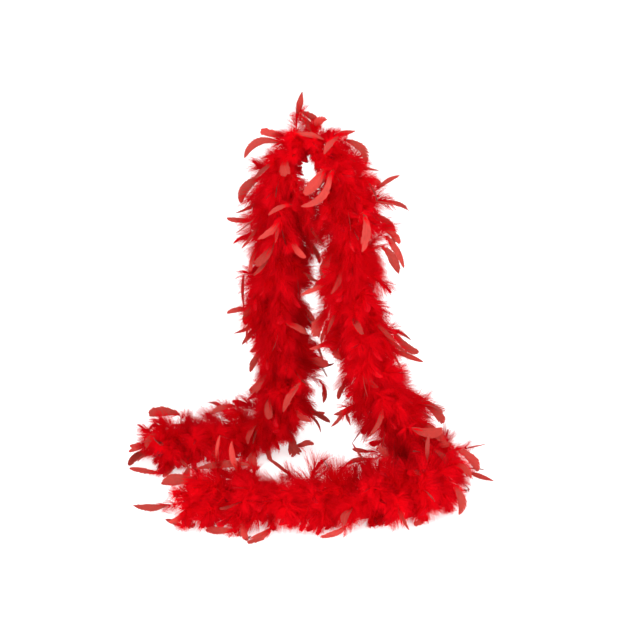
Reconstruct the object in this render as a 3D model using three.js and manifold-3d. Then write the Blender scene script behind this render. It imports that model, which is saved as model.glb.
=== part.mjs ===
// A feather boa: plumes bound all along one soft cotton cord, hung over a single point so that both
// sides hang down beside each other and their two ends lie along the floor.
// Millimetres, +X to the right, +Y away from the viewer, +Z up. The origin is the underside of the cord
// at its highest point, where a hook, a rail or a neck carries the whole boa.

import * as THREE from 'three';
import { mergeVertices } from 'three/addons/utils/BufferGeometryUtils.js';
import Module from 'manifold-3d';

const wasm = await Module();
wasm.setup();

// ---- driving dimensions -------------------------------------------------------------------------

const cordDiameter = 4;
const cordSides = 8;
const cordSteps = 80;
const clearance = 0.3; // left between touching pieces
const ringSides = 6;
const floorBelowHook = 552; // the surface that both ends lie on
const cordAboveFloor = 38; // the lower plumes hold the cord this far up
const layHeight = cordAboveFloor - floorBelowHook;

// The cord's centre line, from the end of the left tail, over the hook, to the end of the front tail.
const cordRoute = [
  [-256, -80, layHeight],
  [-242, -60, layHeight],
  [-192, -20, layHeight],
  [-126, 0, layHeight],
  [-84, 12, layHeight + 6],
  [-58, 24, layHeight + 30],
  [-46, 32, -438],
  [-43, 32, -370],
  [-51, 25, -278],
  [-49, 17, -188],
  [-45, 8, -102],
  [-44, 4, -58],
  [-30, 1, -20],
  [0, 0, cordDiameter / 2],
  [30, -4, -18],
  [46, -9, -54],
  [59, -17, -95],
  [69, -32, -174],
  [65, -47, -254],
  [91, -61, -336],
  [121, -76, -415],
  [149, -84, -452],
  [173, -93, -486],
  [195, -116, layHeight + 4],
  [204, -158, layHeight],
  [181, -205, layHeight],
  [134, -232, layHeight],
  [64, -240, layHeight],
  [-15, -240, layHeight],
  [-90, -242, layHeight],
  [-138, -242, layHeight],
  [-172, -242, layHeight],
  [-206, -242, layHeight],
];

// Tufts of plumes from the left end to the right end, all the same distance apart along the cord.
const stretches = [
  ['left_tail', 6],
  ['left_leg', 12],
  ['crown', 2],
  ['right_leg', 13],
  ['turn', 3],
  ['front_tail', 8],
];
const firstTuftFromEnd = 31;

const collarLength = 12; // the bound quill ends of one tuft
const collarRadius = 6.5;

const plumesPerTuft = 5;
const plumeLength = 62;
const plumeWidth = 15;
const plumeThickness = 1.4;
const plumeSweep = THREE.MathUtils.degToRad(38);
const plumeFoot = 5; // from the cord's centre line to the end of the quill
const plumeTurn = THREE.MathUtils.degToRad(36); // from one tuft to the next

// Plumes that stand out well past the rest: tuft, direction of the tip, length.
const longPlumes = [
  ['crown_1', [-0.05, 0.1, 1], 78],
  ['left_leg_11', [-1, -0.1, 0.12], 60],
  ['left_leg_6', [-0.95, 0, -0.3], 58],
  ['right_leg_2', [0.9, 0.2, 0.45], 62],
  ['right_leg_6', [0.95, 0.2, 0.1], 66],
  ['right_leg_9', [0.9, 0.1, -0.3], 62],
  ['turn_1', [1, -0.1, 0.1], 88],
  ['turn_2', [0.9, -0.5, -0.1], 62],
  ['left_leg_2', [-0.3, 1, -0.3], 78],
  ['left_leg_5', [0.2, 1, -0.3], 82],
  ['left_tail_1', [-0.9, -0.2, -0.2], 70],
  ['left_tail_3', [-0.35, 0.3, 0.9], 52],
  ['front_tail_3', [-0.2, -1, -0.4], 82],
  ['front_tail_6', [-0.3, -1, -0.42], 88],
  ['front_tail_8', [-0.95, -0.3, -0.12], 70],
];

const knotLength = 8;
const knotRadius = 5;
const knotFromEnd = 8; // the cord's loose end past the knot
const whippingLength = 6;
const whippingRadius = 3.4;
const whippingFromKnot = 1;

// ---- colours ------------------------------------------------------------------------------------

const plumeRed = new THREE.MeshStandardMaterial({ color: 0xd9000f, roughness: 0.75, metalness: 0 });
const cordRed = new THREE.MeshStandardMaterial({ color: 0xa80010, roughness: 0.9, metalness: 0 });
const threadRed = new THREE.MeshStandardMaterial({ color: 0x8c000c, roughness: 0.8, metalness: 0 });

// ---- solids -------------------------------------------------------------------------------------

function toSolid(geometry) {
  const bare = geometry.clone();
  bare.deleteAttribute('normal');
  bare.deleteAttribute('uv');
  const merged = mergeVertices(bare);
  const vertProperties = new Float32Array(merged.attributes.position.array);
  const triVerts = new Uint32Array(merged.index.array);
  return new wasm.Manifold(new wasm.Mesh({ numProp: 3, vertProperties, triVerts }));
}

function toGeometry(solid) {
  const mesh = solid.getMesh();
  const geometry = new THREE.BufferGeometry();
  geometry.setAttribute('position', new THREE.BufferAttribute(new Float32Array(mesh.vertProperties), 3));
  geometry.setIndex(new THREE.BufferAttribute(new Uint32Array(mesh.triVerts), 1));
  geometry.computeVertexNormals();
  return geometry;
}

// ---- the cord and places along it ---------------------------------------------------------------

const cordPath = new THREE.CatmullRomCurve3(
  cordRoute.map(([x, y, z]) => new THREE.Vector3(x, y, z)),
  false,
  'centripetal',
);
cordPath.arcLengthDivisions = 2000;
const cordLength = cordPath.getLength();

// A steady frame: z along the cord, x and y across it, from the cord's direction alone.
function placeOnCord(distance) {
  const share = distance / cordLength;
  const along = cordPath.getTangentAt(share);
  const reference = new THREE.Vector3(0, 1, 0);
  const across = new THREE.Vector3().crossVectors(reference, along).normalize();
  const up = new THREE.Vector3().crossVectors(along, across);
  const matrix = new THREE.Matrix4().makeBasis(across, up, along);
  return matrix.setPosition(cordPath.getPointAt(share));
}

// A full circle in a shape is drawn with twice as many sides as its curve segments.
function cordTube(radius) {
  const section = new THREE.Shape();
  section.absarc(0, 0, radius, 0, 2 * Math.PI);
  const curveSegments = cordSides / 2;
  const options = { steps: cordSteps, extrudePath: cordPath, curveSegments, bevelEnabled: false };
  return new THREE.ExtrudeGeometry(section, options);
}

const cordRoom = toSolid(cordTube(cordDiameter / 2 + clearance));

// A short solid of revolution standing on the cord, its axis along it.
function roller(length, radius, place) {
  return toSolid(new THREE.CylinderGeometry(radius, radius, length, ringSides).rotateX(Math.PI / 2)
    .applyMatrix4(place));
}

function bead(length, radius, place) {
  const ball = new THREE.SphereGeometry(radius, ringSides, ringSides - 2);
  return toSolid(ball.scale(1, length / 2 / radius, 1).rotateX(Math.PI / 2).applyMatrix4(place));
}

// ---- plumes -------------------------------------------------------------------------------------

// A flat sickle-shaped plume in the XY plane, its quill at the origin and its tip at +Y.
function plumeBlade(length, grow) {
  const half = plumeWidth / 2 + grow;
  const root = 1.6 + grow;
  const lean = plumeWidth * 0.35;
  const outline = new THREE.Shape();
  outline.moveTo(-root, -grow);
  outline.lineTo(root, -grow);
  outline.lineTo(half + lean / 2, length * 0.62);
  outline.lineTo(lean, length + grow);
  outline.lineTo(-half + lean / 2, length * 0.55);
  const depth = plumeThickness + 2 * grow;
  const blade = new THREE.ExtrudeGeometry(outline, { depth, bevelEnabled: false });
  return blade.translate(0, 0, -depth / 2);
}

// The matrix that stands a plume on the collar at a place, pointing along tip, flat along side.
function plumeStand(centre, tip, side) {
  const direction = tip.clone().normalize();
  const faceNormal = new THREE.Vector3().crossVectors(side, direction).normalize();
  const width = new THREE.Vector3().crossVectors(direction, faceNormal);
  const foot = centre.clone().addScaledVector(direction, plumeFoot);
  return new THREE.Matrix4().makeBasis(width, direction, faceNormal).setPosition(foot);
}

// Directions of one tuft's ordinary plumes: a ring of them, leaning by turns forward and back.
function plumeDirections(place, tuftIndex) {
  const across = new THREE.Vector3();
  const up = new THREE.Vector3();
  const along = new THREE.Vector3();
  place.extractBasis(across, up, along);
  return Array.from({ length: plumesPerTuft }, (_, i) => {
    const angle = (2 * Math.PI * i) / plumesPerTuft + plumeTurn * tuftIndex;
    const outward = across.clone().multiplyScalar(Math.cos(angle)).addScaledVector(up, Math.sin(angle));
    const lean = i % 2 === 0 ? plumeSweep : -plumeSweep;
    const tip = outward.multiplyScalar(Math.cos(lean)).addScaledVector(along, Math.sin(lean));
    return { tip, side: along };
  });
}

// ---- assembly -----------------------------------------------------------------------------------

const boa = new THREE.Group();

function addPiece(name, geometry, material) {
  const mesh = new THREE.Mesh(geometry, material);
  mesh.name = name;
  boa.add(mesh);
}

addPiece('core_cord', cordTube(cordDiameter / 2), cordRed);

// The knot and the thread whipping that close each end of the cord.
const endSolids = [];
for (const [side, end, inward] of [['left', 0, 1], ['right', cordLength, -1]]) {
  const knotAt = end + inward * (knotFromEnd + knotLength / 2);
  const whippingAt = knotAt + inward * (knotLength / 2 + whippingFromKnot + whippingLength / 2);
  const knot = bead(knotLength, knotRadius, placeOnCord(knotAt)).subtract(cordRoom);
  const whipping = roller(whippingLength, whippingRadius, placeOnCord(whippingAt)).subtract(cordRoom);
  addPiece(`end_knot_${side}`, toGeometry(knot), cordRed);
  addPiece(`end_whipping_${side}`, toGeometry(whipping), threadRed);
  endSolids.push(knot, whipping);
}

const tuftNames = stretches.flatMap(([stretch, count]) =>
  Array.from({ length: count }, (_, i) => `${stretch}_${i + 1}`));
const tuftSpacing = (cordLength - 2 * firstTuftFromEnd) / (tuftNames.length - 1);

const tufts = tuftNames.map((name, index) => {
  const place = placeOnCord(firstTuftFromEnd + index * tuftSpacing);
  return { name, index, place, solid: roller(collarLength, collarRadius, place) };
});

const floorSlab = toSolid(new THREE.BoxGeometry(2000, 2000, 400).translate(0, 0, -floorBelowHook - 200));

// A plume goes on at the longest length at which it stays clear of everything that stands already.
function addPlume(tuft, tip, side, length) {
  const centre = new THREE.Vector3().setFromMatrixPosition(tuft.place);
  const stand = plumeStand(centre, tip, side);
  const others = tufts.filter((other) => other !== tuft).map((other) => other.solid);
  for (const share of [1, 0.85, 0.7, 0.55, 0.4]) {
    const reach = toSolid(plumeBlade(length * share, clearance).applyMatrix4(stand));
    const isClear = [...endSolids, ...others].every((other) => reach.intersect(other).isEmpty());
    if (isClear) {
      const blade = toSolid(plumeBlade(length * share, 0).applyMatrix4(stand));
      tuft.solid = tuft.solid.add(blade);
      return;
    }
  }
}

for (const [name, direction, length] of longPlumes) {
  const tuft = tufts.find((candidate) => candidate.name === name);
  const along = new THREE.Vector3().setFromMatrixColumn(tuft.place, 2);
  addPlume(tuft, new THREE.Vector3(...direction), along, length);
}
for (const tuft of tufts) {
  for (const { tip, side } of plumeDirections(tuft.place, tuft.index)) {
    addPlume(tuft, tip, side, plumeLength);
  }
}
for (const tuft of tufts) {
  addPiece(`${tuft.name}_plumes`, toGeometry(tuft.solid.subtract(cordRoom).subtract(floorSlab)), plumeRed);
}

export default boa;
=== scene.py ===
"""A red feather boa: fluffy plumes bound all along a twisted cotton cord, hung over one point so that
its two sides fall beside each other and both ends lie along the floor. Metres, +Z up, and the origin
is the underside of the cord at the hanging point, as in the CAD model."""

import math

import bpy
import numpy as np
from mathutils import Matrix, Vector


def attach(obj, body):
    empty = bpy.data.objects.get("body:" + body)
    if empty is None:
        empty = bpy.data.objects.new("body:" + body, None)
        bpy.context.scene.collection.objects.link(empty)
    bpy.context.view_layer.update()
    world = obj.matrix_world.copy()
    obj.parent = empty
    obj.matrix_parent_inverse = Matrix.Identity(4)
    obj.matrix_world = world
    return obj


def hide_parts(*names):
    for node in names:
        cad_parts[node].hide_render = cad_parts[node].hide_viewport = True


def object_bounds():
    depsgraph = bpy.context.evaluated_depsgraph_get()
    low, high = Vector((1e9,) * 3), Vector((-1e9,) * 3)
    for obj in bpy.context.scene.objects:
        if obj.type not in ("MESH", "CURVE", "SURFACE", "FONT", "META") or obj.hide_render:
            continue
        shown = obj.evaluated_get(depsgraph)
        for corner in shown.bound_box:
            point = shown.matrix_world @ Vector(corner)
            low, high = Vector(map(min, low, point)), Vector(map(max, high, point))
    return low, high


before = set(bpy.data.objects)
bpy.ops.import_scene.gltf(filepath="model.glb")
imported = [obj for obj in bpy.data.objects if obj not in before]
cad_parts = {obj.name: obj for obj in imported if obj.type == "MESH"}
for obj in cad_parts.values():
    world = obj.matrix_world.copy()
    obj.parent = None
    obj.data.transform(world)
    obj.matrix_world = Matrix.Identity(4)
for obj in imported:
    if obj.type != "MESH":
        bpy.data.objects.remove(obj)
cad_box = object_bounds()

# ---- driving dimensions, in metres ---------------------------------------------------------------

MM = 0.001
CORD_DIAMETER = 4 * MM
FLOOR = cad_box[0][2]
LAY_HEIGHT = FLOOR + 38 * MM

# The cord's centre line, as in the CAD model: left end, over the hanging point, front end.
CORD_ROUTE = [
    (-0.256, -0.080, LAY_HEIGHT),
    (-0.242, -0.060, LAY_HEIGHT),
    (-0.192, -0.020, LAY_HEIGHT),
    (-0.126, 0.000, LAY_HEIGHT),
    (-0.084, 0.012, LAY_HEIGHT + 0.006),
    (-0.058, 0.024, LAY_HEIGHT + 0.030),
    (-0.046, 0.032, -0.438),
    (-0.043, 0.032, -0.370),
    (-0.051, 0.025, -0.278),
    (-0.049, 0.017, -0.188),
    (-0.045, 0.008, -0.102),
    (-0.044, 0.004, -0.058),
    (-0.030, 0.001, -0.020),
    (0.000, 0.000, CORD_DIAMETER / 2),
    (0.030, -0.004, -0.018),
    (0.046, -0.009, -0.054),
    (0.059, -0.017, -0.095),
    (0.069, -0.032, -0.174),
    (0.065, -0.047, -0.254),
    (0.091, -0.061, -0.336),
    (0.121, -0.076, -0.415),
    (0.149, -0.084, -0.452),
    (0.173, -0.093, -0.486),
    (0.195, -0.116, LAY_HEIGHT + 0.004),
    (0.204, -0.158, LAY_HEIGHT),
    (0.181, -0.205, LAY_HEIGHT),
    (0.134, -0.232, LAY_HEIGHT),
    (0.064, -0.240, LAY_HEIGHT),
    (-0.015, -0.240, LAY_HEIGHT),
    (-0.090, -0.242, LAY_HEIGHT),
    (-0.138, -0.242, LAY_HEIGHT),
    (-0.172, -0.242, LAY_HEIGHT),
    (-0.206, -0.242, LAY_HEIGHT),
]

# Tufts of plumes along the cord, named and spaced as in the CAD model.
STRETCHES = [
    ("left_tail", 6),
    ("left_leg", 12),
    ("crown", 2),
    ("right_leg", 13),
    ("turn", 3),
    ("front_tail", 8),
]
FIRST_TUFT_FROM_END = 31 * MM
BARE_END = 24 * MM

GRAVITY = np.array([0.0, 0.0, -1.0])

# ---- the cord's line ------------------------------------------------------------------------------


def catmull_rom(points, per_span=60):
    """Points close together on the centripetal Catmull-Rom curve through the route."""
    route = np.array(points, float)
    first = 2 * route[0] - route[1]
    last = 2 * route[-1] - route[-2]
    route = np.vstack([first, route, last])
    line = []
    for a, b, c, d in zip(route, route[1:], route[2:], route[3:]):
        knots = np.cumsum([0] + [math.sqrt(np.linalg.norm(q - p)) for p, q in ((a, b), (b, c), (c, d))])
        t0, t1, t2, t3 = knots
        t = np.linspace(t1, t2, per_span, endpoint=False)[:, None]
        ab = a + (b - a) * (t - t0) / (t1 - t0)
        bc = b + (c - b) * (t - t1) / (t2 - t1)
        cd = c + (d - c) * (t - t2) / (t3 - t2)
        abc = ab + (bc - ab) * (t - t0) / (t2 - t0)
        bcd = bc + (cd - bc) * (t - t1) / (t3 - t1)
        line.append(abc + (bcd - abc) * (t - t1) / (t2 - t1))
    line.append(route[-2][None])
    return np.concatenate(line)


CORD_LINE = catmull_rom(CORD_ROUTE)
CORD_REACH = np.concatenate([[0], np.cumsum(np.linalg.norm(np.diff(CORD_LINE, axis=0), axis=1))])
CORD_LENGTH = CORD_REACH[-1]


def on_cord(distance):
    """The point on the cord that far from its left end."""
    return np.array([np.interp(distance, CORD_REACH, CORD_LINE[:, i]) for i in range(3)]).T


def cord_direction(distance, step=1 * MM):
    """The cord's direction there, towards its front end."""
    ahead = on_cord(np.minimum(distance + step, CORD_LENGTH))
    behind = on_cord(np.maximum(distance - step, 0))
    return unit(ahead - behind)


def unit(vectors):
    """The vectors, each brought to length one."""
    vectors = np.asarray(vectors, float)
    return vectors / np.maximum(np.linalg.norm(vectors, axis=-1, keepdims=True), 1e-12)


def across_cord(along):
    """Two directions across the cord, the first one level."""
    level = unit(np.cross([0.0, 1.0, 0.0], along))
    return level, np.cross(along, level)


# ---- materials ------------------------------------------------------------------------------------


def new_material(name):
    """An empty material, with its nodes and links."""
    material = bpy.data.materials.new(name)
    material.use_nodes = True
    nodes = material.node_tree.nodes
    nodes.clear()
    return material, nodes, material.node_tree.links


def ramp_between(nodes, links, factor, dark, light):
    """A colour that goes from dark to light with a 0 to 1 factor."""
    ramp = nodes.new("ShaderNodeValToRGB")
    ramp.color_ramp.elements[0].color = (*dark, 1)
    ramp.color_ramp.elements[1].color = (*light, 1)
    links.new(factor, ramp.inputs["Fac"])
    return ramp.outputs["Color"]


MOTTLE_DEPTH = 0.9  # how much of the way from dark to light the mottled dye can shift a tone


def feather_material(name, dark, light, through, see_through, roughness, sheen, mottle):
    """Dyed feather: its tone is painted on the mesh, partly random and in places painted light and shade, and
    broken up by mottled dye, and light of another colour comes through it."""
    material, nodes, links = new_material(name)
    tone = nodes.new("ShaderNodeAttribute")
    tone.attribute_name = "tone"
    dye = nodes.new("ShaderNodeTexNoise")
    dye.inputs["Scale"].default_value = mottle
    dye.inputs["Detail"].default_value = 3
    coordinates = nodes.new("ShaderNodeTexCoord")
    links.new(coordinates.outputs["Object"], dye.inputs["Vector"])
    blend = nodes.new("ShaderNodeMath")
    blend.operation = "MULTIPLY_ADD"
    blend.inputs[1].default_value = MOTTLE_DEPTH
    links.new(dye.outputs["Fac"], blend.inputs[0])
    shift = nodes.new("ShaderNodeMath")
    shift.operation = "SUBTRACT"
    shift.inputs[1].default_value = MOTTLE_DEPTH / 2
    links.new(tone.outputs["Fac"], shift.inputs[0])
    links.new(shift.outputs["Value"], blend.inputs[2])
    colour = ramp_between(nodes, links, blend.outputs["Value"], dark, light)

    front = nodes.new("ShaderNodeBsdfPrincipled")
    front.inputs["Roughness"].default_value = roughness
    front.inputs["Specular IOR Level"].default_value = 0.1
    front.inputs["Sheen Weight"].default_value = sheen
    front.inputs["Sheen Roughness"].default_value = 0.4
    front.inputs["Sheen Tint"].default_value = (1, 0.35, 0.35, 1)
    links.new(colour, front.inputs["Base Color"])
    glow = nodes.new("ShaderNodeBsdfTranslucent")
    glow.inputs["Color"].default_value = (*through, 1)
    mix = nodes.new("ShaderNodeMixShader")
    mix.inputs["Fac"].default_value = see_through
    links.new(front.outputs["BSDF"], mix.inputs[1])
    links.new(glow.outputs["BSDF"], mix.inputs[2])
    output = nodes.new("ShaderNodeOutputMaterial")
    links.new(mix.outputs["Shader"], output.inputs["Surface"])
    return material


def fibre_material(name, dark, light, speckle, roughness):
    """Spun cotton or thread: a fine speckle of lighter and darker fibres, and a matt surface."""
    material, nodes, links = new_material(name)
    coordinates = nodes.new("ShaderNodeTexCoord")
    fibres = nodes.new("ShaderNodeTexNoise")
    fibres.inputs["Scale"].default_value = speckle
    fibres.inputs["Detail"].default_value = 4
    fibres.inputs["Roughness"].default_value = 0.7
    links.new(coordinates.outputs["Object"], fibres.inputs["Vector"])
    colour = ramp_between(nodes, links, fibres.outputs["Fac"], dark, light)
    bump = nodes.new("ShaderNodeBump")
    bump.inputs["Strength"].default_value = 0.5
    bump.inputs["Distance"].default_value = 0.2 * MM
    links.new(fibres.outputs["Fac"], bump.inputs["Height"])
    surface = nodes.new("ShaderNodeBsdfPrincipled")
    surface.inputs["Roughness"].default_value = roughness
    surface.inputs["Specular IOR Level"].default_value = 0.2
    links.new(colour, surface.inputs["Base Color"])
    links.new(bump.outputs["Normal"], surface.inputs["Normal"])
    output = nodes.new("ShaderNodeOutputMaterial")
    links.new(surface.outputs["BSDF"], output.inputs["Surface"])
    return material


DOWN_FLUFF, VANE, QUILL, SOFT_TIP, BINDING = 0, 1, 2, 3, 4
PLUME_MATERIALS = [
    feather_material(
        "plume_down", (0.70, 0.0, 0.008), (0.98, 0.0, 0.010), (0.94, 0.0, 0.010), 0.6, 0.9, 0.0, 60
    ),
    feather_material(
        "plume_vane", (0.28, 0.030, 0.022), (0.56, 0.045, 0.038), (0.24, 0.05, 0.04), 0.3, 0.5, 0.05, 260
    ),
    feather_material(
        "plume_quill", (0.40, 0.01, 0.01), (0.64, 0.07, 0.05), (0.32, 0.05, 0.04), 0.15, 0.4, 0.0, 400
    ),
    # The soft tips take the down's colours darkened: painted shade that damps the brighter light the flat
    # soft tips catch.
    feather_material(
        "plume_soft_tip_painted_shade", (0.42, 0.0, 0.006), (0.66, 0.002, 0.010), (0.60, 0.0, 0.008), 0.4, 0.9, 0.0, 200
    ),
]
CORD_MATERIAL = fibre_material("cotton_cord", (0.20, 0.002, 0.006), (0.50, 0.01, 0.02), 2500, 0.95)
THREAD_MATERIAL = fibre_material("binding_thread", (0.14, 0.002, 0.005), (0.36, 0.006, 0.014), 5000, 0.7)

# ---- meshes made of quads -------------------------------------------------------------------------


def add_object(name, data):
    """A new object in the scene that shows the data."""
    thing = bpy.data.objects.new(name, data)
    bpy.context.scene.collection.objects.link(thing)
    return thing


def ring_about(first, second, sides):
    """Directions all round a line at each of its points, from two directions across it."""
    angles = np.arange(sides) * 2 * math.pi / sides
    cosines = np.cos(angles)[None, :, None]
    sines = np.sin(angles)[None, :, None]
    return cosines * first[:, None] + sines * second[:, None]


def rings_joined(corner, closed=False):
    """Quads between each ring of corners and the next one, and from the last to the first if closed."""
    beside = np.roll(corner, -1, axis=1)
    if closed:
        corner = np.vstack([corner, corner[:1]])
        beside = np.vstack([beside, beside[:1]])
    return np.stack([corner[:-1], beside[:-1], beside[1:], corner[1:]], axis=-1)


class QuadMesh:
    """Gathers ribbons and tubes, each with a material, tones and shading normals."""

    def __init__(self):
        self.points, self.quads, self.slots, self.tones, self.normals = [], [], [], [], []
        self.count = 0

    def _add(self, points, quads, slot, tones, normals):
        self.points.append(points.reshape(-1, 3))
        self.quads.append(quads.reshape(-1, 4) + self.count)
        self.slots.append(np.full(quads.size // 4, slot))
        self.tones.append(tones.reshape(-1))
        self.normals.append(normals.reshape(-1, 3))
        self.count += points.size // 3

    def ribbons(self, centres, half_sides, normals, tones, slot):
        """Flat strips: centres, half_sides and normals are [strip, step, xyz], tones [strip, step]."""
        strips, steps = tones.shape
        points = np.stack([centres - half_sides, centres + half_sides], axis=2)
        corner = np.arange(strips * steps * 2).reshape(strips, steps, 2)
        quads = np.stack(
            [corner[:, :-1, 0], corner[:, :-1, 1], corner[:, 1:, 1], corner[:, 1:, 0]], axis=-1
        )
        self._add(points, quads, slot, np.repeat(tones, 2, axis=1), np.repeat(normals, 2, axis=1))

    def tube(self, line, radii, side, sides, slot, tone, closed=False):
        """A tube along a line: its radii at each point, or at each point and side, and a direction
        across it at each point. A closed one joins its own start."""
        along = unit(np.gradient(line, axis=0))
        first = unit(side - along * np.sum(side * along, axis=1, keepdims=True))
        second = np.cross(along, first)
        ring = ring_about(first, second, sides)
        points = line[:, None] + ring * np.reshape(radii, (len(line), -1, 1))
        corner = np.arange(len(line) * sides).reshape(len(line), sides)
        self._add(points, rings_joined(corner, closed), slot, np.full(points.shape[:2], tone), ring)

    def build(self, name, materials, own_normals=True):
        """The object made of all that was gathered, shaded by the normals given or by its own."""
        points = np.concatenate(self.points).astype(np.float32)
        quads = np.concatenate(self.quads).astype(np.int32)
        mesh = bpy.data.meshes.new(name)
        mesh.vertices.add(len(points))
        mesh.vertices.foreach_set("co", points.ravel())
        mesh.loops.add(quads.size)
        mesh.loops.foreach_set("vertex_index", quads.ravel())
        mesh.polygons.add(len(quads))
        mesh.polygons.foreach_set("loop_start", np.arange(0, quads.size, 4, dtype=np.int32))
        mesh.polygons.foreach_set("material_index", np.concatenate(self.slots).astype(np.int32))
        for material in materials:
            mesh.materials.append(material)
        mesh.update(calc_edges=True)
        mesh.validate()
        tone = mesh.attributes.new("tone", "FLOAT", "POINT")
        tone.data.foreach_set("value", np.concatenate(self.tones).astype(np.float32))
        mesh.polygons.foreach_set("use_smooth", np.ones(len(mesh.polygons), dtype=bool))
        if own_normals:
            mesh.normals_split_custom_set_from_vertices(unit(np.concatenate(self.normals)).tolist())
        return add_object(name, mesh)


# ---- one feather ----------------------------------------------------------------------------------

QUILL_STEPS = 15
QUILL_SIDES = 4
DOWN_STEPS = 5
VANE_STEPS = 4

QUILL_RADII = (0.55 * MM, 0.12 * MM)  # at its root and at its tip

LOCKS_PER_FEATHER = 38
BARBS_PER_LOCK = 15
BARB_WIDTH = 0.64 * MM
BARB_LEAN = (72, 28)  # degrees off the quill, at the quill's root and at the end of the down
LOCK_GATHER = 0.42  # how far a lock's barbs draw together at their tips
FLUFF_FLATNESS = 0.75  # its depth for its breadth
FORWARD_CURL = 0.55
PAINTED_LIGHT_DEPTH = 90 * MM  # painted light and shade: the fluff is painted a whole tone lighter near the cord, where shade falls, than this far out, where light falls
GOLDEN_ANGLE = math.pi * (3 - math.sqrt(5))

VANE_LEAN = (44, 20)  # degrees off the quill, at the flat tip's foot and at its end
VANE_OVERLAP = 0.92  # the flat tip starts at this share of the down's length
BARB_COVER = 1.7  # a flat tip's barb is this many times as wide as its distance to the next
WIDEST_BARB = 4  # in gaps between barbs along the quill
PARTING_CHANCE = 0.08  # for each barb, that the barbs part before it
PARTING_SPREAD = 0.09  # how differently the parted barbs lean, in radians
VANE_BEND = 0.18  # how far the barbs bend towards the tip, in their lengths
BARB_TIP_TAPER = 0.4

LAID_CLEAR = 0.5 * MM  # what lies on the floor is this far above it, or up to LAID_SPREAD more
LAID_SPREAD = 3 * MM
VANE_CLEAR = 1.3 * MM
QUILL_CLEAR = 1 * MM
MOST_DRAWN_IN = 0.95
DRAWN_IN_DEPTH = 14 * MM


def above_floor(points, rng, core=None, clear=LAID_CLEAR):
    """The points, with those under the floor laid on it, and drawn in towards the core if given."""
    lift = clear + rng.uniform(0, LAID_SPREAD, points.shape[:-1])
    depth = np.maximum(FLOOR + lift - points[..., 2], 0)
    points = points.copy()
    points[..., 2] += depth
    if core is not None:
        drawn_in = (MOST_DRAWN_IN * depth / (depth + DRAWN_IN_DEPTH))[..., None]
        points[..., :2] -= (points[..., :2] - core[..., :2]) * drawn_in
    return points


def clear_of_cord(points):
    """A quill's points, with those nearer the cord's middle than its root moved straight out."""
    apart = points[:, None] - CORD_LINE[None]
    nearest = np.argmin(np.sum(apart**2, axis=2), axis=1)
    outward = apart[np.arange(len(points)), nearest]
    distance = np.linalg.norm(outward, axis=1, keepdims=True)
    return points + unit(outward) * np.maximum(QUILL_FROM_CORE - distance, 0)


def grow(start, direction, length, steps, pull):
    """A line that starts off in a direction and is pulled aside a little more at each step."""
    heading = unit(direction)
    line = [np.asarray(start, float)]
    for _ in range(steps - 1):
        line.append(line[-1] + heading * np.asarray(length)[..., None] / (steps - 1))
        heading = unit(heading + pull / (steps - 1))
    return np.stack(line, axis=-2)


def places_on(quill, share):
    """The points at those shares of a quill, with the step of the quill and its direction at each."""
    place = share * (len(quill) - 1)
    low = np.minimum(place.astype(int), len(quill) - 2)
    points = quill[low] + (quill[low + 1] - quill[low]) * (place - low)[:, None]
    return points, low, unit(np.gradient(quill, axis=0))[low]


def down_barbs(mesh, rng, quill, side, face, core, style):
    """Loose fluff along the lower part of a feather: soft locks of fine barbs, all round it."""
    locks = style["locks"]
    share = (np.arange(locks) + rng.random(locks)) / locks
    start, low, along = places_on(quill, share * style["down"])
    turn = (GOLDEN_ANGLE * np.arange(locks) + rng.normal(0, 0.5, locks))[:, None]
    outward = unit(side[low] * np.cos(turn) + face[low] * np.sin(turn) * FLUFF_FLATNESS)
    lean = BARB_LEAN[0] - (BARB_LEAN[0] - BARB_LEAN[1]) * share
    angle = np.radians(lean + rng.normal(0, 9, locks))[:, None]
    heading = along * np.cos(angle) + outward * np.sin(angle)
    length = style["fluff"] * (0.8 + 0.2 * np.sin(math.pi * (0.1 + 0.8 * share)))
    curl = rng.normal(0, 0.38, (locks, 3)) + along * FORWARD_CURL + GRAVITY * style["droop"] * 0.5

    lock = np.repeat(np.arange(locks), BARBS_PER_LOCK)
    count = len(lock)
    middle = grow(start, heading, length, DOWN_STEPS, curl)[lock]
    start = start[lock] + along[lock] * rng.normal(0, 1.5 * MM, (count, 1))
    heading = heading[lock] + rng.normal(0, 0.24, (count, 3))
    length = length[lock] * rng.uniform(0.6, 1.1, count)
    curl = curl[lock] + rng.normal(0, 0.25, (count, 3))
    line = grow(start, heading, length, DOWN_STEPS, curl)
    line = line + (middle - line) * (LOCK_GATHER * np.linspace(0, 1, DOWN_STEPS) ** 1.5)[:, None]
    line = above_floor(line, rng, core)

    away = unit(line - core)
    heading = unit(np.gradient(line, axis=1))
    tilt = unit(away + rng.normal(0, 0.7, (count, 1, 3)))
    across = unit(np.cross(heading, tilt))
    strip_face = np.cross(across, heading)
    flip = np.sign(np.sum(strip_face * away, axis=-1, keepdims=True) + 1e-9)
    taper = np.linspace(1, 0, DOWN_STEPS) ** 0.7 * 0.82 + 0.18
    width = BARB_WIDTH * taper[None, :, None]
    normals = unit(strip_face * flip * 0.25 + away)
    tones = style["tone"] + rng.normal(0, 0.05, locks)[lock][:, None] + rng.normal(0, 0.04, count)[:, None]
    # Painted light and shade: the barbs are painted lighter deep in the fluff near the cord, where shade
    # falls, and darker towards its outer surface, where the light falls.
    tones = tones + 0.35 - np.linalg.norm(line - core, axis=-1) / PAINTED_LIGHT_DEPTH
    mesh.ribbons(line, across * flip * width / 2, normals, tones, DOWN_FLUFF)


def vane_outline(share, bluntness, widest=0.4):
    """How far the flat tip's barbs reach: rising from its base to 1, then less and less to its end."""
    rising = 0.25 + 0.75 * np.sin(np.clip(share / widest, 0, 1) * math.pi / 2)
    past = np.clip((share - widest) / (1 - widest), 0, 1)
    return rising * (1 - past**bluntness)


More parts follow.
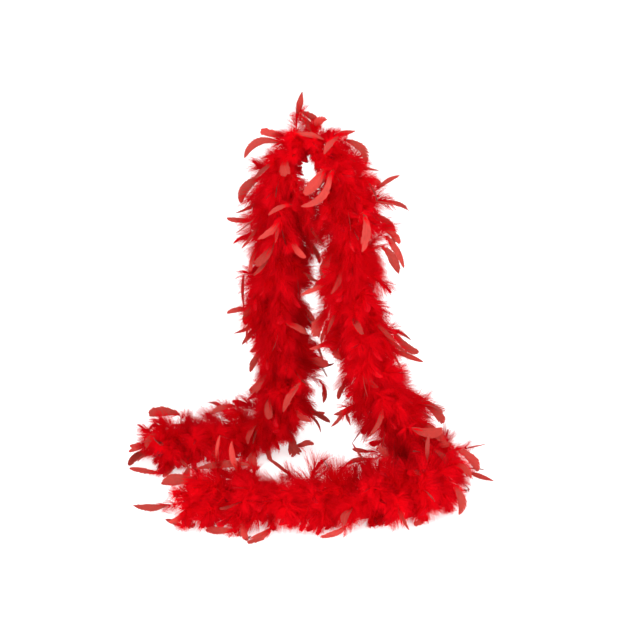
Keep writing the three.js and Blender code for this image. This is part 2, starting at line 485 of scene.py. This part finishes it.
def vane_barbs(mesh, rng, quill, side, face, style):
    """The flat, leaf-shaped tip: close barbs on both sides of the quill, parted here and there."""
    count = style["vane_barbs"]
    share = (np.arange(count) + 0.5) / count
    foot = style["down"] * VANE_OVERLAP
    start, low, along = places_on(quill, foot + (1 - foot) * share)
    reach = np.linalg.norm(quill[-1] - quill[-2]) * (1 - foot) * (len(quill) - 1)
    gap = reach / count
    lean = np.radians(VANE_LEAN[0] - (VANE_LEAN[0] - VANE_LEAN[1]) * share)
    steps = np.linspace(0, 1, VANE_STEPS)
    for hand in (-1, 1):
        parting = np.cumsum(rng.random(count) < PARTING_CHANCE)
        jitter = rng.normal(0, PARTING_SPREAD, parting.max() + 1)[parting]
        angle = (lean + jitter)[:, None]
        outward = side[low] * hand
        direction = along * np.cos(angle) + outward * np.sin(angle)
        half = style["vane_width"] / 2 * vane_outline(share, style["bluntness"])
        half = half * rng.uniform(0.96, 1.02, count)
        length = (half / np.sin(lean))[:, None, None]
        curving = (steps**2)[None, :, None] * length
        cup = style["cup"] * curving * face[low][:, None]
        bend = along[:, None] * curving * VANE_BEND
        line = start[:, None] + direction[:, None] * steps[None, :, None] * length
        line = above_floor(line + cup + bend, rng, clear=VANE_CLEAR)
        heading = unit(np.gradient(line, axis=1))
        flat_face = np.repeat(face[low][:, None], VANE_STEPS, axis=1)
        across = unit(np.cross(heading, flat_face))
        apart = np.linalg.norm(np.gradient(line, axis=0), axis=-1, keepdims=True)
        breadth = np.clip(apart * BARB_COVER, gap, gap * WIDEST_BARB)
        taper = (1 - steps**3 * BARB_TIP_TAPER)[None, :, None]
        normals = unit(flat_face + across * 0.12)
        tones = style["vane_tone"] + rng.normal(0, 0.05, count)[:, None] + 0.1 * steps[None]
        mesh.ribbons(line, across * breadth * taper / 2, normals, tones, style["tip_slot"])


def feather(mesh, rng, quill, core, style):
    """A whole feather on a given quill line: the tapering quill, its down and its flat tip."""
    along = unit(np.gradient(quill, axis=0))
    face = unit(style["face"] - along * np.sum(style["face"] * along, axis=1, keepdims=True))
    side = np.cross(along, face)
    quill = quill + side * style["sickle"] * np.linspace(0, 1, len(quill))[:, None] ** 4
    quill = above_floor(quill, rng, core, QUILL_CLEAR)
    quill = clear_of_cord(quill)
    along = unit(np.gradient(quill, axis=0))
    side = unit(side - along * np.sum(side * along, axis=1, keepdims=True))
    face = np.cross(side, along)
    radii = np.linspace(*QUILL_RADII, len(quill))
    mesh.tube(quill, radii, side, QUILL_SIDES, QUILL, style["vane_tone"])
    down_barbs(mesh, rng, quill, side, face, core, style)
    if style["down"] < 1:
        vane_barbs(mesh, rng, quill, side, face, style)


TIPPED_SHARE = 0.36
TIP_WIDTHS = [(5, 8), (8, 12), (13, 18)]  # in millimetres
SOFT_TIP_WIDTHS = (5, 9)  # in millimetres
TIP_WIDTH_SHARES = [0.35, 0.45, 0.20]


def feather_style(rng, outward, along, fullness):
    """The measures of one ordinary feather, each a little different. Some end in a stiff flat tip, which
    may be narrow or broad and lies over the fluff or stands beside it, and the rest in a small soft one."""
    face = outward - GRAVITY * 0.8 if rng.random() < 0.5 else np.cross(outward, along)
    tipped = rng.random() < TIPPED_SHARE
    low, high = SOFT_TIP_WIDTHS
    if tipped:
        low, high = TIP_WIDTHS[rng.choice(len(TIP_WIDTHS), p=TIP_WIDTH_SHARES)]
    tone = rng.uniform(0.35, 0.65)
    return {
        "length": (rng.uniform(80, 104) if tipped else rng.uniform(56, 76)) * fullness * MM,
        "down": rng.uniform(0.5, 0.6) if tipped else rng.uniform(0.68, 0.78),
        "locks": LOCKS_PER_FEATHER,
        "fluff": rng.uniform(32, 43) * fullness * MM,
        "droop": rng.uniform(0.5, 1.3),
        "bend": rng.normal(0, 0.3, 3),
        "face": unit(face + rng.normal(0, 0.25, 3)),
        "sickle": rng.uniform(8, 24) * MM * rng.choice([-1, 1]),
        "vane_barbs": 40 if tipped else 22,
        "vane_width": rng.uniform(low, high) * MM,
        "bluntness": rng.uniform(1.2, 2.3),
        "cup": rng.uniform(-0.3, 0.3),
        "tone": tone,
        "vane_tone": rng.uniform(0.2, 0.9) if tipped else tone,
        "tip_slot": VANE if tipped else SOFT_TIP,
    }


# ---- the tufts ------------------------------------------------------------------------------------

FEATHERS_PER_TUFT = 15
QUILL_FROM_CORE = 3 * MM
BINDING_RADIUS = 3.6 * MM
BINDING_PITCH = 4.5 * MM
SHORTER_NEAR_END = 50 * MM

# How far the feathers of each stretch lean along the cord, towards its front end.
STRETCH_SWEEP = {
    "left_tail": -0.6,
    "left_leg": -0.3,
    "crown": 0.0,
    "right_leg": 0.3,
    "turn": 0.2,
    "front_tail": 0.4,
}


def fullness_at(centre, outward):
    """How large the feathers are there: they lie closer over the top of the hanging point, inside its
    arch and along the floor."""
    near_top = min(max(1 + centre[2] / 0.08, 0), 1)
    near_floor = min(max((LAY_HEIGHT + 0.06 - centre[2]) / 0.05, 0), 1)
    inward = max(-outward[0] * np.sign(centre[0]), 0) * (1 - near_floor)
    meeting = math.exp(-(((centre[2] + 0.12) / 0.06) ** 2)) * inward
    up = max(outward[2], 0)
    down = max(-outward[2], 0)
    over_arch = near_top if abs(centre[0]) < 0.045 else 0
    inside_arch = math.exp(-(((centre[2] + 0.045) / 0.032) ** 2)) * inward
    closer = near_top * (0.14 + 0.34 * up) + 0.52 * inside_arch
    closer += over_arch * (0.6 * down + 0.12 * abs(outward[1]))
    between_tails = max(outward[1] if centre[1] < -0.15 else -outward[1], 0)
    closer += near_floor * (0.1 + 0.36 * down + 0.14 * between_tails - 0.14 * up)
    return 1 + 0.22 * meeting - 0.1 * inward - closer


def ordinary_feather(mesh, rng, stretch, place, angle):
    """One feather that stands off the cord at an angle round it, leans along it and droops."""
    centre = on_cord(place)
    along = cord_direction(place)
    level, upright = across_cord(along)
    outward = level * math.cos(angle) + upright * math.sin(angle)
    direction = outward + along * (STRETCH_SWEEP[stretch] + rng.normal(0, 0.4)) + GRAVITY * 0.15
    from_end = min(place, CORD_LENGTH - place)
    fullness = fullness_at(centre, outward) * (0.76 if from_end < SHORTER_NEAR_END else 1)
    style = feather_style(rng, outward, along, fullness)
    pull = GRAVITY * style["droop"] + style["bend"]
    root = centre + outward * QUILL_FROM_CORE
    quill = grow(root, direction, style["length"], QUILL_STEPS, pull)
    feather(mesh, rng, quill, centre, style)


def bezier(corners, steps=12):
    """Points along the Bezier curve with those corners."""
    share = np.linspace(0, 1, steps)[:, None]
    lines = [np.asarray(corner, float)[None] for corner in corners]
    while len(lines) > 1:
        lines = [a * (1 - share) + b * share for a, b in zip(lines, lines[1:])]
    return lines[0]


def evenly(line, count):
    """The same line as that many points, equally far apart."""
    reach = np.concatenate([[0], np.cumsum(np.linalg.norm(np.diff(line, axis=0), axis=1))])
    places = np.linspace(0, reach[-1], count)
    return np.array([np.interp(places, reach, line[:, i]) for i in range(3)]).T


STANDOUT_STEPS = 22
SHOWN_SIDE = np.array([0.15, -1.0, 0.35])


def standout_feather(mesh, rng, place, foot, tip, width, bow):
    """A feather that shows clear of the fluff. Its quill runs from the cord to its foot, and from
    there its flat part bows to its tip. One with no width is down to the end."""
    centre = on_cord(place)
    outward = unit(foot - centre)
    root = centre + outward * QUILL_FROM_CORE
    left = unit(np.cross(SHOWN_SIDE, tip - foot))
    crest = (foot + tip) / 2 + left * bow * 2
    swing = np.linalg.norm(foot - root) * 0.4
    hidden = bezier([root, root + outward * swing, foot - unit(crest - foot) * swing, foot])
    shown = bezier([foot, crest, tip])
    quill = evenly(np.concatenate([hidden, shown[1:]]), STANDOUT_STEPS)
    hidden_share = np.linalg.norm(np.diff(hidden, axis=0), axis=1).sum()
    hidden_share /= hidden_share + np.linalg.norm(np.diff(shown, axis=0), axis=1).sum()
    style = feather_style(rng, outward, cord_direction(place), 1.0)
    style["down"] = hidden_share if width else 1.0
    style["locks"] = LOCKS_PER_FEATHER // 2 if width else LOCKS_PER_FEATHER
    style["fluff"] = 24 * MM
    style["face"] = SHOWN_SIDE + rng.normal(0, 0.12, 3)
    style["sickle"] = 0
    style["vane_barbs"] = 60
    style["vane_width"] = width * 1.2
    style["bluntness"] = rng.uniform(1.1, 1.8)
    # Painted light and shade: standout tips that face the front, towards the lights, are painted lighter, and
    # those that face sideways or back are painted darker.
    style["vane_tone"] = rng.uniform(0.3, 0.62) if outward[1] < -0.45 else rng.uniform(0.15, 0.4)
    style["tip_slot"] = VANE
    feather(mesh, rng, quill, centre, style)


# The feathers that stand out, in millimetres: tuft, then where the flat part starts, where its tip
# ends, its width, and how far it bows to the left as seen from the front.
STANDOUTS = {
    "left_tail_1": [
        ((-228, 16, -480), (-276, 39, -490), 14, -3),
        ((-256, -14, -480), (-277, -51, -500), 3, -4),
        ((-278, -15, -535), (-305, -49, -545), 12, -3),
        ((-253, -76, -545), (-303, -54, -548), 9, 2),
    ],
    "left_tail_4": [((-131, 10, -463), (-170, 10, -477), 8, -3)],
    "left_leg_12": [
        ((-51, 0, -2), (-105, 0, -28), 10, -12),
        ((-22, -30, 20), (22, -30, 10), 7, 2),
        ((-20, 0, 40), (-12, 0, 80), 8, 0),
    ],
    "crown_1": [
        ((-12, 0, 46), (18, 0, 20), 9, 4),
        ((-12, -10, 40), (3, -10, 12), 8, 3),
        ((41, -50, 17), (22, -50, -9), 8, -2),
    ],
    "crown_2": [((60, -10, 2), (89, -10, -36), 11, 8), ((60, -20, -22), (110, -20, -43), 4, -4)],
    "left_leg_11": [
        ((-10, -30, -70), (5, -25, -110), 0, 6),
        ((-15, -50, -80), (-4, -50, -120), 0, 6),
        ((-18, -40, -58), (-2, -40, -92), 0, 4),
    ],
    "right_leg_1": [
        ((32, -70, -37), (-14, -70, -88), 9, 12),
        ((20, -66, -35), (-8, -66, -68), 14, 2),
        ((25, -40, -60), (12, -35, -85), 0, 4),
        ((10, -30, -80), (-6, -30, -110), 0, 6),
    ],
    "right_leg_2": [
        ((112, -20, -69), (143, -20, -51), 7, 1),
        ((101, -30, -91), (144, -30, -98), 2.5, 0),
        ((25, -45, -95), (10, -45, -125), 0, 6),
        ((20, -20, -110), (0, -20, -135), 0, 6),
    ],
    "right_leg_3": [
        ((104, -35, -113), (135, -35, -161), 12, 9),
        ((86, -95, -100), (82, -95, -155), 11, 4),
    ],
    "right_leg_4": [
        ((125, -40, -150), (151, -40, -200), 9, 3),
        ((118, -45, -165), (143, -45, -208), 13, 4),
        ((30, -50, -178), (14, -50, -202), 8, 3),
    ],
    "left_leg_10": [
        ((-81, 15, -65), (-112, 15, -107), 13, -7),
        ((-86, 15, -106), (-122, 15, -124), 4, 2),
        ((-84, 15, -116), (-96, 15, -136), 3, 0),
    ],
    "left_leg_9": [
        ((-51, -45, -121), (-84, -45, -150), 8, 3),
        ((-35, -45, -93), (-66, -45, -110), 6, -3),
    ],
    "left_leg_6": [((-110, 20, -235), (-110, 20, -290), 4, -2), ((-10, 0, -281), (16, 0, -326), 4, 3)],
    "left_leg_5": [
        ((-108, 25, -294), (-139, 25, -301), 8, -2),
        ((-35, -30, -300), (-5, -30, -318), 9, 2),
    ],
    "left_leg_4": [
        ((8, 0, -345), (22, 0, -380), 4, 2),
        ((-90, 25, -312), (-129, 25, -337), 5, 4),
        ((-83, 22, -296), (-98, 22, -328), 12, 0),
    ],
    "left_leg_3": [((-85, 20, -370), (-101, 20, -405), 8, -2)],
    "right_leg_5": [((23, -20, -219), (3, -20, -243), 8, 2)],
    "right_leg_6": [((34, -30, -265), (26, -30, -302), 4, -3)],
    "right_leg_7": [((28, -35, -323), (39, -35, -348), 4, -2)],
    "right_leg_8": [((138, -60, -308), (177, -60, -338), 11, -4)],
    "left_leg_1": [
        ((-31, 0, -515), (-31, -10, -549), 12, 2),
        ((-19, 10, -535), (6, 5, -531), 8, 2),
        ((-22, -45, -405), (-45, -45, -450), 10, -3),
    ],
    "left_leg_2": [((0, 20, -484), (18, 20, -516), 4, 3), ((22, 10, -427), (22, 10, -457), 7, 2)],
    "right_leg_9": [((85, -95, -355), (110, -95, -385), 11, -3)],
    "right_leg_10": [((55, -90, -432), (34, -90, -457), 5, 1), ((59, -90, -432), (66, -90, -455), 4, 0)],
    "right_leg_12": [((89, -100, -510), (57, -100, -521), 7, -2), ((90, -100, -496), (69, -100, -492), 6, 0)],
    "right_leg_11": [
        ((183, -95, -411), (215, -95, -448), 13, 5),
        ((167, -140, -439), (212, -140, -439), 14, -4),
    ],
    "right_leg_13": [
        ((240, -156, -470), (269, -167, -500), 12, 5),
        ((256, -120, -481), (285, -120, -474), 2, 0),
        ((257, -129, -520), (298, -141, -530), 6, 0),
    ],
    "turn_1": [((200, -160, -468), (223, -160, -505), 7, 6), ((229, -232, -500), (233, -246, -538), 12, 5)],
    "turn_3": [((179, -246, -540), (162, -262, -546), 9, 2)],
    "front_tail_8": [
        ((-183, -259, -470), (-232, -235, -490), 14, -3),
        ((-232, -211, -540), (-282, -198, -545), 10, 3),
        ((-200, -267, -545), (-227, -241, -548), 7, 0),
    ],
    "front_tail_6": [
        ((-97, -235, -457), (-178, -235, -464), 9, -4),
        ((-122, -293, -540), (-161, -276, -549), 10, 0),
    ],
    "front_tail_5": [((-63, -293, -540), (-94, -318, -549), 12, 2)],
    "front_tail_2": [
        ((51, -290, -540), (16, -300, -549), 9, 2),
        ((60, -225, -520), (64, -222, -484), 0, 0),
        ((76, -222, -518), (84, -220, -482), 0, 0),
        ((56, -205, -512), (58, -200, -482), 0, 0),
        ((70, -205, -512), (72, -200, -480), 0, 0),
    ],
}


def tuft(stretch, number, index, spacing):
    """The feathers bound on one stretch of cord, in the place of one CAD tuft."""
    rng = np.random.default_rng(1000 + index)
    mesh = QuadMesh()
    distance = FIRST_TUFT_FROM_END + index * spacing
    for count in range(FEATHERS_PER_TUFT):
        step = (count + rng.uniform(0, 1)) / FEATHERS_PER_TUFT - 0.5
        place = min(max(distance + spacing * step, BARE_END), CORD_LENGTH - BARE_END)
        angle = GOLDEN_ANGLE * (count + index * FEATHERS_PER_TUFT) + rng.normal(0, 0.3)
        ordinary_feather(mesh, rng, stretch, place, angle)
    bound_from = max(distance - spacing / 2, BARE_END)
    bound_to = min(distance + spacing / 2, CORD_LENGTH - BARE_END)
    turns = (bound_to - bound_from) / BINDING_PITCH
    wound_thread(mesh, bound_from, bound_to - bound_from, BINDING_RADIUS, turns, BINDING)
    for foot, tip, width, bow in STANDOUTS.get(f"{stretch}_{number}", []):
        standout_feather(mesh, rng, distance, np.array(foot) * MM, np.array(tip) * MM, width * MM, bow * MM)
    piece = mesh.build(f"{stretch}_{number}_feathers", PLUME_MATERIALS + [THREAD_MATERIAL])
    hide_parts(f"{stretch}_{number}_plumes")
    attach(piece, "root")
    return piece


def all_tufts():
    """Every tuft, all the same distance apart along the cord."""
    tufts = [(stretch, number + 1) for stretch, count in STRETCHES for number in range(count)]
    spacing = (CORD_LENGTH - 2 * FIRST_TUFT_FROM_END) / (len(tufts) - 1)
    for index, (stretch, number) in enumerate(tufts):
        tuft(stretch, number, index, spacing)


# ---- the cord and its ends ------------------------------------------------------------------------

CORD_SIDES = 18
CORD_PLIES = 3
PLY_LAY = 16 * MM
CORD_STEP = 1.4 * MM


def plied_radii(distances, diameter, lay):
    """The radii of a cord twisted from plies, at each distance and each of its sides."""
    angles = np.arange(CORD_SIDES) * 2 * math.pi / CORD_SIDES
    twist = 2 * math.pi * distances / lay
    lobes = np.abs(np.cos((angles[None] - twist[:, None]) * CORD_PLIES / 2))
    return diameter * (0.40 + 0.11 * lobes**0.8)


def core_cord():
    """Three cotton plies twisted into one cord, from end to end."""
    distances = np.linspace(0, CORD_LENGTH, int(CORD_LENGTH / CORD_STEP))
    line = on_cord(distances)
    level, upright = across_cord(cord_direction(distances))
    radii = plied_radii(distances, CORD_DIAMETER, PLY_LAY)
    points = line[:, None] + ring_about(level, upright, CORD_SIDES) * radii[:, :, None]
    points = np.concatenate([points.reshape(-1, 3), line[:1], line[-1:]])
    corner = np.arange(len(line) * CORD_SIDES).reshape(len(line), CORD_SIDES)
    beside = np.roll(corner, -1, axis=1)
    quads = rings_joined(corner).reshape(-1, 4)
    start, end = len(points) - 2, len(points) - 1
    caps = [(start, b, a) for a, b in zip(corner[0], beside[0])]
    caps += [(end, a, b) for a, b in zip(corner[-1], beside[-1])]
    mesh = bpy.data.meshes.new("core_cord_twisted")
    mesh.from_pydata(points.tolist(), [], quads.tolist() + caps)
    mesh.materials.append(CORD_MATERIAL)
    mesh.polygons.foreach_set("use_smooth", np.ones(len(mesh.polygons), dtype=bool))
    piece = add_object("core_cord_twisted", mesh)
    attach(piece, "root")
    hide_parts("core_cord")
    return piece, line


KNOT_FROM_END = 8 * MM
KNOT_LENGTH = 8 * MM
KNOT_RADIUS = 5 * MM
KNOT_STRAND = 2 * MM
KNOT_LAY = PLY_LAY * 0.6
FRAY_FIBRES = 44
FRAY_STEPS = 6

WHIPPING_FROM_KNOT = 1 * MM
WHIPPING_LENGTH = 6 * MM
THREAD_DIAMETER = 0.6 * MM
THREAD_ON_CORD = 0.1 * MM
THREAD_SIDES = 6
STEPS_PER_TURN = 14


def wound_thread(mesh, start, length, radius, turns, slot):
    """Thread wound round the cord at a radius, from a distance along it."""
    steps = int(turns * STEPS_PER_TURN)
    distances = start + np.linspace(0, length, steps)
    along = cord_direction(distances)
    level, upright = across_cord(along)
    angle = (np.linspace(0, turns, steps) * 2 * math.pi)[:, None]
    line = on_cord(distances) + (level * np.cos(angle) + upright * np.sin(angle)) * radius
    mesh.tube(line, np.full(steps, THREAD_DIAMETER / 2), along, THREAD_SIDES, slot, 0.5)


def end_knot(side, end, inward):
    """The tight knot near one end of the cord, a three-lobed loop round it, and the frayed cotton
    past the knot."""
    rng = np.random.default_rng(7 if side == "left" else 8)
    middle = end + inward * (KNOT_FROM_END + KNOT_LENGTH / 2)
    centre = on_cord(middle)
    along = cord_direction(middle)
    level, upright = across_cord(along)
    turn = np.linspace(0, 2 * math.pi, 90, endpoint=False)[:, None]
    mean_radius = KNOT_RADIUS - KNOT_STRAND / 2 - 0.2 * MM
    radius = mean_radius + 0.5 * MM * np.cos(3 * turn)
    height = (KNOT_LENGTH - KNOT_STRAND) / 2 * np.sin(3 * turn)
    outward = level * np.cos(2 * turn) + upright * np.sin(2 * turn)
    loop = centre + outward * radius + along * height
    mesh = QuadMesh()
    radii = plied_radii(np.linspace(0, 6 * KNOT_LAY, len(loop)), KNOT_STRAND, KNOT_LAY)
    mesh.tube(loop, radii, outward, CORD_SIDES, 0, 0.5, closed=True)
    tip = on_cord(end)
    back = -inward * cord_direction(end)
    for _ in range(FRAY_FIBRES):
        spread = rng.normal(0, 0.4, 3)
        start = tip + spread * 1.5 * MM - back * 1 * MM
        length = rng.uniform(5, 11) * MM
        fibre = grow(start, back + spread, length, FRAY_STEPS, GRAVITY * 0.6 + rng.normal(0, 0.4, 3))
        radii = np.linspace(0.2, 0.06, FRAY_STEPS) * MM
        mesh.tube(fibre, radii, np.repeat(level[None], FRAY_STEPS, axis=0), 4, 0, 0.5)
    piece = mesh.build(f"end_knot_{side}_tied", [CORD_MATERIAL], own_normals=False)
    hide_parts(f"end_knot_{side}")
    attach(piece, "root")
    return piece


def end_whipping(side, end, inward):
    """Two layers of thread wound round the cord behind a knot."""
    near = end + inward * (KNOT_FROM_END + KNOT_LENGTH + WHIPPING_FROM_KNOT)
    first = min(near, near + inward * WHIPPING_LENGTH) + THREAD_DIAMETER / 2
    length = WHIPPING_LENGTH - THREAD_DIAMETER
    mesh = QuadMesh()
    for layer in range(2):
        radius = CORD_DIAMETER / 2 + THREAD_ON_CORD + THREAD_DIAMETER * (0.5 + 0.9 * layer)
        wound_thread(mesh, first, length, radius, length / THREAD_DIAMETER, 0)
    piece = mesh.build(f"end_whipping_{side}_wound", [THREAD_MATERIAL], own_normals=False)
    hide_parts(f"end_whipping_{side}")
    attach(piece, "root")
    return piece


def cord_and_ends():
    """The core cord, with a knot and a whipping at each end."""
    piece, line = core_cord()
    for side, end, inward in (("left", 0, 1), ("right", CORD_LENGTH, -1)):
        end_knot(side, end, inward)
        end_whipping(side, end, inward)


# ---- floor, light and camera ----------------------------------------------------------------------

VIEW_CENTRE = Vector((0.008, -0.082, -0.265))
CAMERA_DISTANCE = 2.655
CAMERA_ELEVATION = math.radians(20)
CAMERA_LENS = 94.8  # in millimetres, on a 36 mm sensor
FLOOR_REACH = 20
FLOOR_GREY = 0.6
FLOOR_GLOW = 0.6


def make_camera():
    """The camera in front of the boa and a little above it, aimed at the middle of the view."""
    back = Vector((0, -math.cos(CAMERA_ELEVATION), math.sin(CAMERA_ELEVATION)))
    data = bpy.data.cameras.new("camera")
    data.lens = CAMERA_LENS
    data.sensor_width = 36
    camera = add_object("camera", data)
    camera.location = VIEW_CENTRE + back * CAMERA_DISTANCE
    camera.rotation_euler = (-back).to_track_quat("-Z", "Y").to_euler()
    bpy.context.scene.camera = camera


def area_light(name, place, size, power):
    """A square light that faces the boa."""
    data = bpy.data.lights.new(name, "AREA")
    data.size = size
    data.energy = power
    light = add_object(name, data)
    light.location = place
    light.rotation_euler = (VIEW_CENTRE - Vector(place)).to_track_quat("-Z", "Y").to_euler()


def make_stage():
    """A white floor and white air, with two large soft lights from the front."""
    mesh = bpy.data.meshes.new("studio_floor")
    turns = [(-1, -1), (1, -1), (1, 1), (-1, 1)]
    mesh.from_pydata([(x * FLOOR_REACH, y * FLOOR_REACH, FLOOR) for x, y in turns], [], [(0, 1, 2, 3)])
    material, nodes, links = new_material("studio_floor_paint")
    paint = nodes.new("ShaderNodeBsdfPrincipled")
    paint.inputs["Base Color"].default_value = (FLOOR_GREY, FLOOR_GREY, FLOOR_GREY, 1)
    paint.inputs["Roughness"].default_value = 1.0
    paint.inputs["Specular IOR Level"].default_value = 0.0
    paint.inputs["Emission Color"].default_value = (1, 1, 1, 1)
    paint.inputs["Emission Strength"].default_value = FLOOR_GLOW
    output = nodes.new("ShaderNodeOutputMaterial")
    links.new(paint.outputs["BSDF"], output.inputs["Surface"])
    mesh.materials.append(material)
    floor = add_object("studio_floor", mesh)

    world = bpy.data.worlds.new("studio_air")
    world.use_nodes = True
    background = world.node_tree.nodes["Background"]
    background.inputs["Color"].default_value = (1, 1, 1, 1)
    background.inputs["Strength"].default_value = 1.0
    bpy.context.scene.world = world
    area_light("key_light", (-1.1, -2.2, 0.7), 1.8, 70)
    area_light("fill_light", (1.3, -2.1, 0.4), 1.8, 58)
    bpy.context.scene.view_settings.view_transform = "Standard"


make_camera()
cord_and_ends()
make_stage()
all_tufts()
